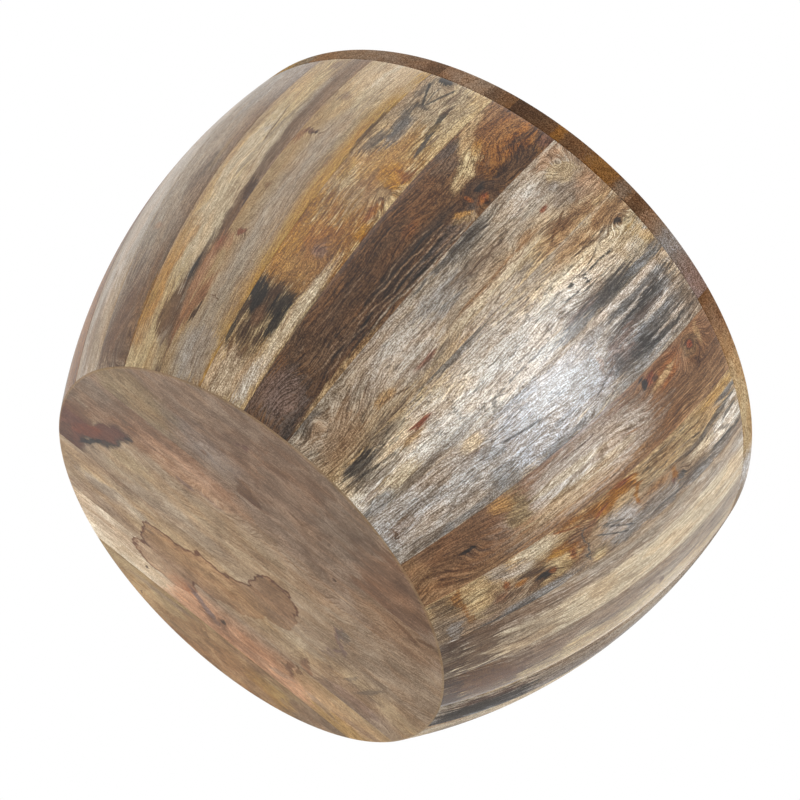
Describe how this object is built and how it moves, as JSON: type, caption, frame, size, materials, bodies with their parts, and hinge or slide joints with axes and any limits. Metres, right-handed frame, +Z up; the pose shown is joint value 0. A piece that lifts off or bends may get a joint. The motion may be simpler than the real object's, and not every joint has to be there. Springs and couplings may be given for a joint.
{
  "type": "round coffee table",
  "caption": "Closed drum coffee table with a bellied wall of glued wooden staves that tapers down to a smaller flat base, and a flush planked top.",
  "frame": {"origin": "centre of the flat underside, on the floor", "axes": "+Z up along the drum's axis; X along the base planks, Y along the top planks"},
  "size_m": [0.787, 0.787, 0.457],
  "materials": {
    "wood_beige": "clear semi-gloss lacquer over figured, spalted mango-type hardwood",
    "wood_taupe": "clear semi-gloss lacquer over figured, spalted mango-type hardwood",
    "wood_cream": "clear semi-gloss lacquer over figured, spalted mango-type hardwood",
    "wood_walnut": "clear semi-gloss lacquer over figured, spalted mango-type hardwood",
    "wood_greige": "clear semi-gloss lacquer over figured, spalted mango-type hardwood",
    "wood_honey": "clear semi-gloss lacquer over figured, spalted mango-type hardwood",
    "wood_umber": "clear semi-gloss lacquer over figured, spalted mango-type hardwood",
    "wood_tan": "clear semi-gloss lacquer over figured, spalted mango-type hardwood",
    "wood_slate": "clear semi-gloss lacquer over figured, spalted mango-type hardwood",
    "base_taupe": "thin matt finish, sanded, slightly stained",
    "base_greige": "thin matt finish, sanded, slightly stained",
    "base_beige": "thin matt finish, sanded, slightly stained",
    "base_tan": "thin matt finish, sanded, slightly stained",
    "inner_wood": "unfinished sawn wood",
    "screw_steel": "zinc plated steel"
  },
  "bodies": {
    "root": {"stave_01": "wood_beige", "stave_02": "wood_taupe", "stave_03": "wood_cream", "stave_04": "wood_walnut", "stave_05": "wood_greige", "stave_06": "wood_honey", "stave_07": "wood_beige", "stave_08": "wood_umber", "stave_09": "wood_cream", "stave_10": "wood_tan", "stave_11": "wood_slate", "stave_12": "wood_beige", "stave_13": "wood_walnut", "stave_14": "wood_cream", "stave_15": "wood_taupe", "stave_16": "wood_honey", "stave_17": "wood_greige", "stave_18": "wood_taupe", "stave_19": "wood_honey", "stave_20": "wood_cream", "stave_21": "wood_honey", "stave_22": "wood_umber", "stave_23": "wood_greige", "stave_24": "wood_beige", "stave_25": "wood_slate", "stave_26": "wood_walnut", "stave_27": "wood_tan", "stave_28": "wood_cream", "stave_29": "wood_tan", "stave_30": "wood_slate", "top_plank_1": "wood_tan", "top_plank_2": "wood_walnut", "top_plank_3": "wood_beige", "top_plank_4": "wood_umber", "top_plank_5": "wood_taupe", "top_plank_6": "wood_honey", "top_plank_7": "wood_walnut", "top_plank_8": "wood_tan", "base_plank_1": "base_taupe", "base_plank_2": "base_taupe", "base_plank_3": "base_greige", "base_plank_4": "base_beige", "base_plank_5": "base_tan", "top_ring_segment_1": "inner_wood", "top_ring_segment_2": "inner_wood", "top_ring_segment_3": "inner_wood", "top_ring_segment_4": "inner_wood", "top_ring_segment_5": "inner_wood", "top_ring_segment_6": "inner_wood", "base_ring_segment_1": "inner_wood", "base_ring_segment_2": "inner_wood", "base_ring_segment_3": "inner_wood", "base_ring_segment_4": "inner_wood", "base_ring_segment_5": "inner_wood", "base_ring_segment_6": "inner_wood", "batten_front": "inner_wood", "batten_back": "inner_wood", "top_screws": "screw_steel", "base_screws": "screw_steel"}
  },
  "joints": []
}
